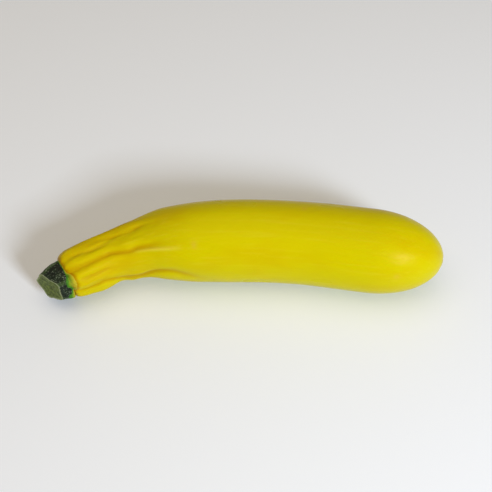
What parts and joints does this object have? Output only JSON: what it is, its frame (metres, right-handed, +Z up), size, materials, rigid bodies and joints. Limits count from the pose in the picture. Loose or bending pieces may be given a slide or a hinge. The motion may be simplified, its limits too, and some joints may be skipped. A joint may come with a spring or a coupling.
{
  "type": "yellow zucchini",
  "caption": "Whole yellow zucchini with a bent, folded neck and a cut green stem stub, lying on a surface.",
  "frame": {"origin": "on the surface it lies on, under the middle of the whole object's bounding box", "axes": "+Z up; +X from the stem towards the blossom end, the longest way; the fruit bends so that both ends lie towards -Y"},
  "size_m": [0.2082, 0.0524, 0.0432],
  "materials": {
    "fruit": "satin",
    "stem": "matte"
  },
  "bodies": {
    "root": {"fruit": "fruit", "stem": "stem"}
  },
  "joints": []
}
